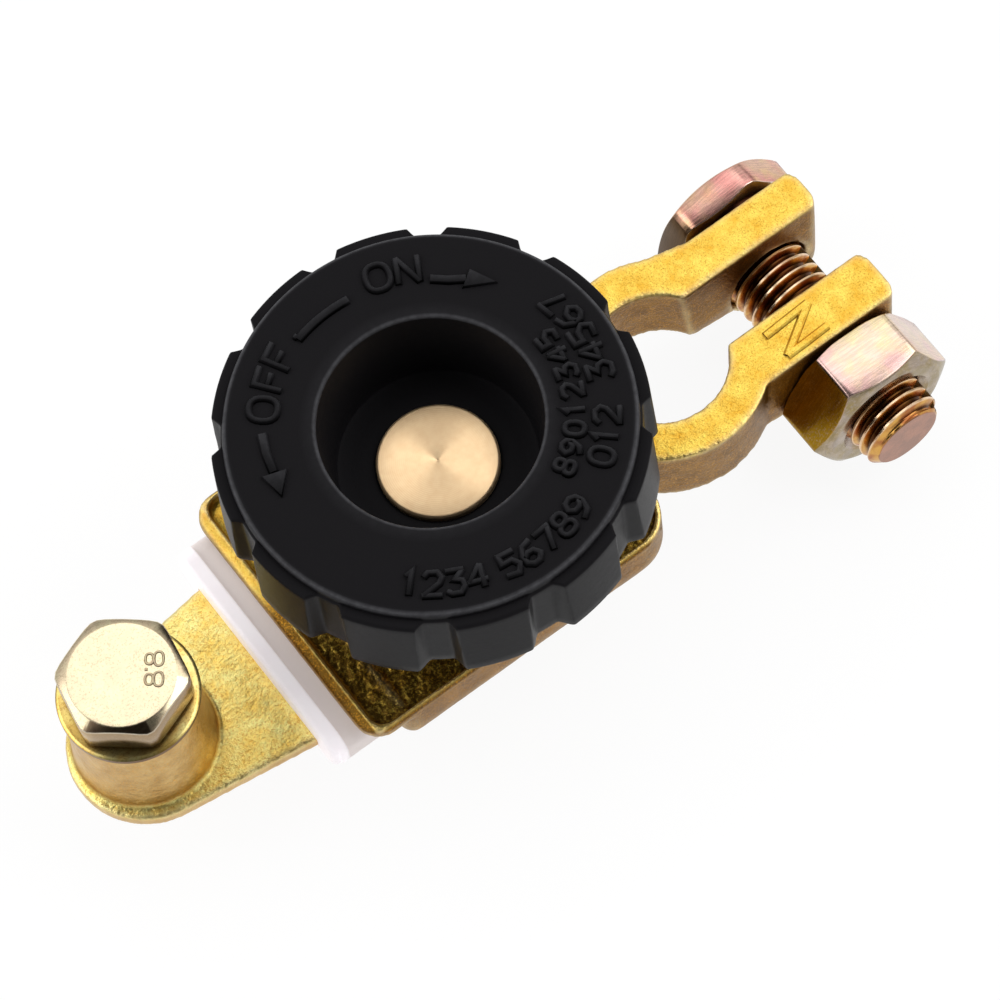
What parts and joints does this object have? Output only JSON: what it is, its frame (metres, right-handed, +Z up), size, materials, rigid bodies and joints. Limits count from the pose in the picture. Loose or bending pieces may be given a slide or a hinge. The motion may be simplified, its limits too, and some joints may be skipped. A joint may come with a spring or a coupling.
{
  "type": "battery terminal disconnect switch",
  "caption": "Knob-operated battery cut-off: a split post clamp cast with a tray-topped housing, a lobed screw knob, and an insulated plate with a bolted cable boss.",
  "frame": {"origin": "on the knob's axis, in the plane of the housing's flat underside", "axes": "+X from the knob towards the battery post clamp, +Z up along the knob's axis"},
  "size_m": [0.1064, 0.0476, 0.0396],
  "materials": {
    "cast_brass": "sand-cast, bright-dipped, fine grain",
    "turned_brass": "face-turned, concentric tool marks",
    "zinc_steel": "yellow zinc plated, slight rainbow tint",
    "nylon": "natural milky nylon",
    "black_plastic": "fine-textured black moulding"
  },
  "bodies": {
    "terminal": {"terminal_casting": "cast_brass", "insulator_sleeve": "nylon", "cable_plate": "cast_brass", "cable_bolt": "zinc_steel", "cable_washer": "zinc_steel", "clamp_bolt": "zinc_steel", "clamp_nut": "zinc_steel"},
    "pad": {"contact_pad": "turned_brass"},
    "turning_knob": {"knob_stud": "turned_brass", "knob": "black_plastic"}
  },
  "joints": [
    {"name": "pad_travel", "type": "slide", "parent": "terminal", "child": "pad", "axis": [0, 0, 1], "range_m": [-0.00263, 0.00088]},
    {"name": "knob_turn", "type": "hinge", "parent": "pad", "child": "turning_knob", "pos_m": [0, 0, 0.02], "axis": [0, 0, 1], "range_deg": [-540, 180]}
  ],
  "couplings": [
    {"joint": "knob_turn", "follows": "pad_travel", "rad_per_m": 3590.4}
  ]
}
